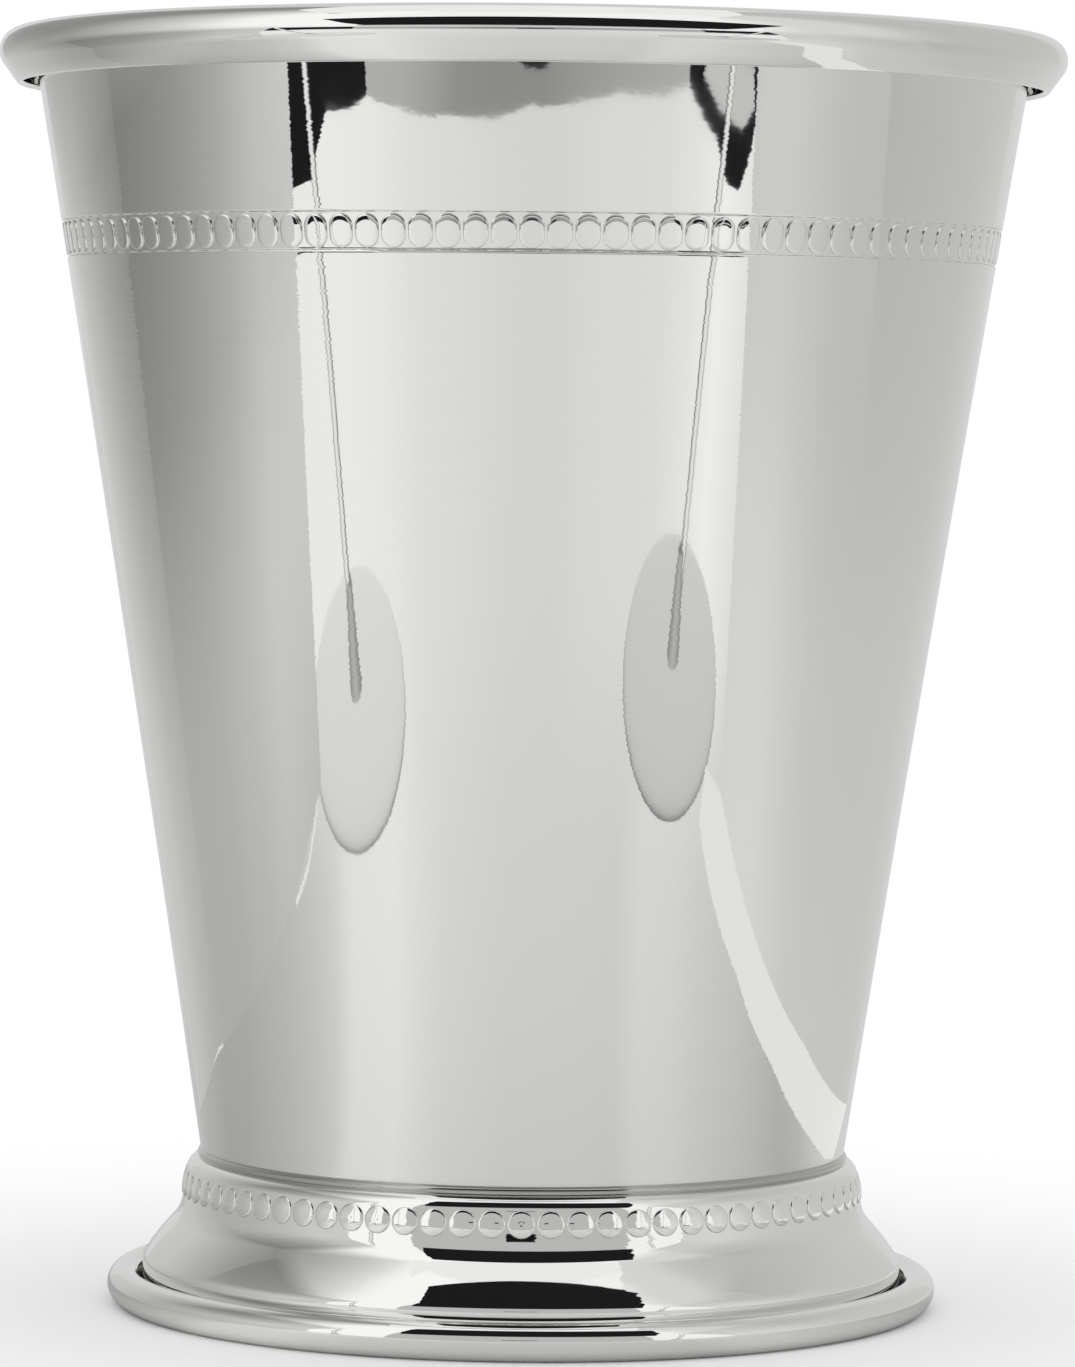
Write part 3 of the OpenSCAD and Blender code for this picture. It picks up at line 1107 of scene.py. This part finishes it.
    def lay_table(self) -> None:
        """Lays the pale table. It fades to plain white away from the cup. What polished surfaces mirror of it carries
        painted lamp light and shade: brighter before the lamps, darker to the sides.
        """
        lay_down_tools()
        bpy.ops.mesh.primitive_plane_add(size=self.table * MM)
        table = bpy.context.object
        table.name = "table"
        material, bench = new_material("white_table")
        spot = bench.add("ShaderNodeTexCoord").outputs["Object"]
        place = bench.add("ShaderNodeSeparateXYZ", {"Vector": spot})
        share = bench.add("ShaderNodeMapRange", {
            "Value": turn_from_front(bench, place), "From Min": -math.pi, "From Max": math.pi})
        reach = bench.add("ShaderNodeVectorMath", {0: spot}, operation="LENGTH")
        # Painted lamp light and shade, seen only by glossy rays.
        near, far = (Ramp(tuple(((angle + 180) / 360, value) for angle, value in places)).value(
            bench, share.outputs[0]) for places in (self.near_table, self.far_table))
        past, away = (bench.add("ShaderNodeMapRange", {
            "Value": reach.outputs["Value"], "From Min": start * MM, "From Max": end * MM},
            interpolation_type="SMOOTHSTEP").outputs[0] for start, end in (self.near_to_far, self.fade))
        painted_table_light = bench.add("ShaderNodeMix", {"Factor": past, 2: near, 3: far})
        in_gloss = bench.add("ShaderNodeBsdfDiffuse", {"Color": painted_table_light.outputs[0]})
        on_view = bench.add("ShaderNodeBsdfDiffuse", {"Color": linear(self.table_colour)})
        white = bench.add("ShaderNodeEmission", {"Strength": 1.0})
        in_view = bench.add("ShaderNodeMixShader", {0: away, 1: on_view.outputs[0], 2: white.outputs[0]})
        mirrored = bench.add("ShaderNodeLightPath").outputs["Is Glossy Ray"]
        both = bench.add("ShaderNodeMixShader", {0: mirrored, 1: in_view.outputs[0], 2: in_gloss.outputs[0]})
        bench.add("ShaderNodeOutputMaterial", {"Surface": both.outputs[0]})
        table.data.materials.append(material)

    def build(self) -> None:
        """Builds the studio."""
        self.light()
        self.lay_table()
        for panel in self.panels():
            panel.hang()
        for cloth in self.cloths():
            cloth.lay()
        LampStand("lamp_left", x=-134, y=-128, brightness=0.84, pole_tilt=-8.0).stand()
        LampStand("lamp_right", x=120, y=-151, brightness=0.71, pole_tilt=13.0).stand()


@dataclass
class Workshop:
    """Builds the pieces in order, dresses them and puts them on the frame."""

    cup: CupSheet = field(default_factory=CupSheet)
    foot: FootSheet = field(default_factory=FootSheet)

    def dress(self, piece: bpy.types.Object, node: str, slot: Slot, *materials: bpy.types.Material) -> None:
        """Gives a piece its materials and its place on the frame.

        Args:
            piece: The finished piece.
            node: The CAD node that it stands for.
            slot: The record's material slot; not used.
            materials: Its materials, the main one first.
        """
        piece.data.materials.clear()
        for material in materials:
            piece.data.materials.append(material)
        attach(piece, "root")
        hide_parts(node)
        log.info("%s: %d faces", piece.name, len(piece.data.polygons))

    def build(self) -> None:
        """Builds every piece of the cup."""
        polished = PolishedPlate().build("polished_silver_plate")
        satin = SatinPlate().build("satin_silver_plate")
        solder = PolishedPlate(colour="#B2B2AF", roughness_low=0.08, roughness_high=0.2).build("polished_solder")
        self.dress(self.cup.model(), "cup_body", Slot.PLATE, polished)
        foot_piece = self.foot.model()
        self.dress(foot_piece, "foot", Slot.PLATE, polished, satin)
        for face in foot_piece.data.polygons:
            face.material_index = int(self.foot.is_inside(face))
        self.dress(SolderRing().model(self.foot), "solder_seam", Slot.SOLDER, solder)


def main() -> None:
    """Builds the cup, its studio and its camera."""
    logging.basicConfig(level=logging.INFO, format="%(name)s %(message)s")
    bpy.context.scene.view_settings.view_transform = "Standard"
    Photograph().place_camera()
    Workshop().build()
    Studio().build()


if __name__ == "__main__":
    main()
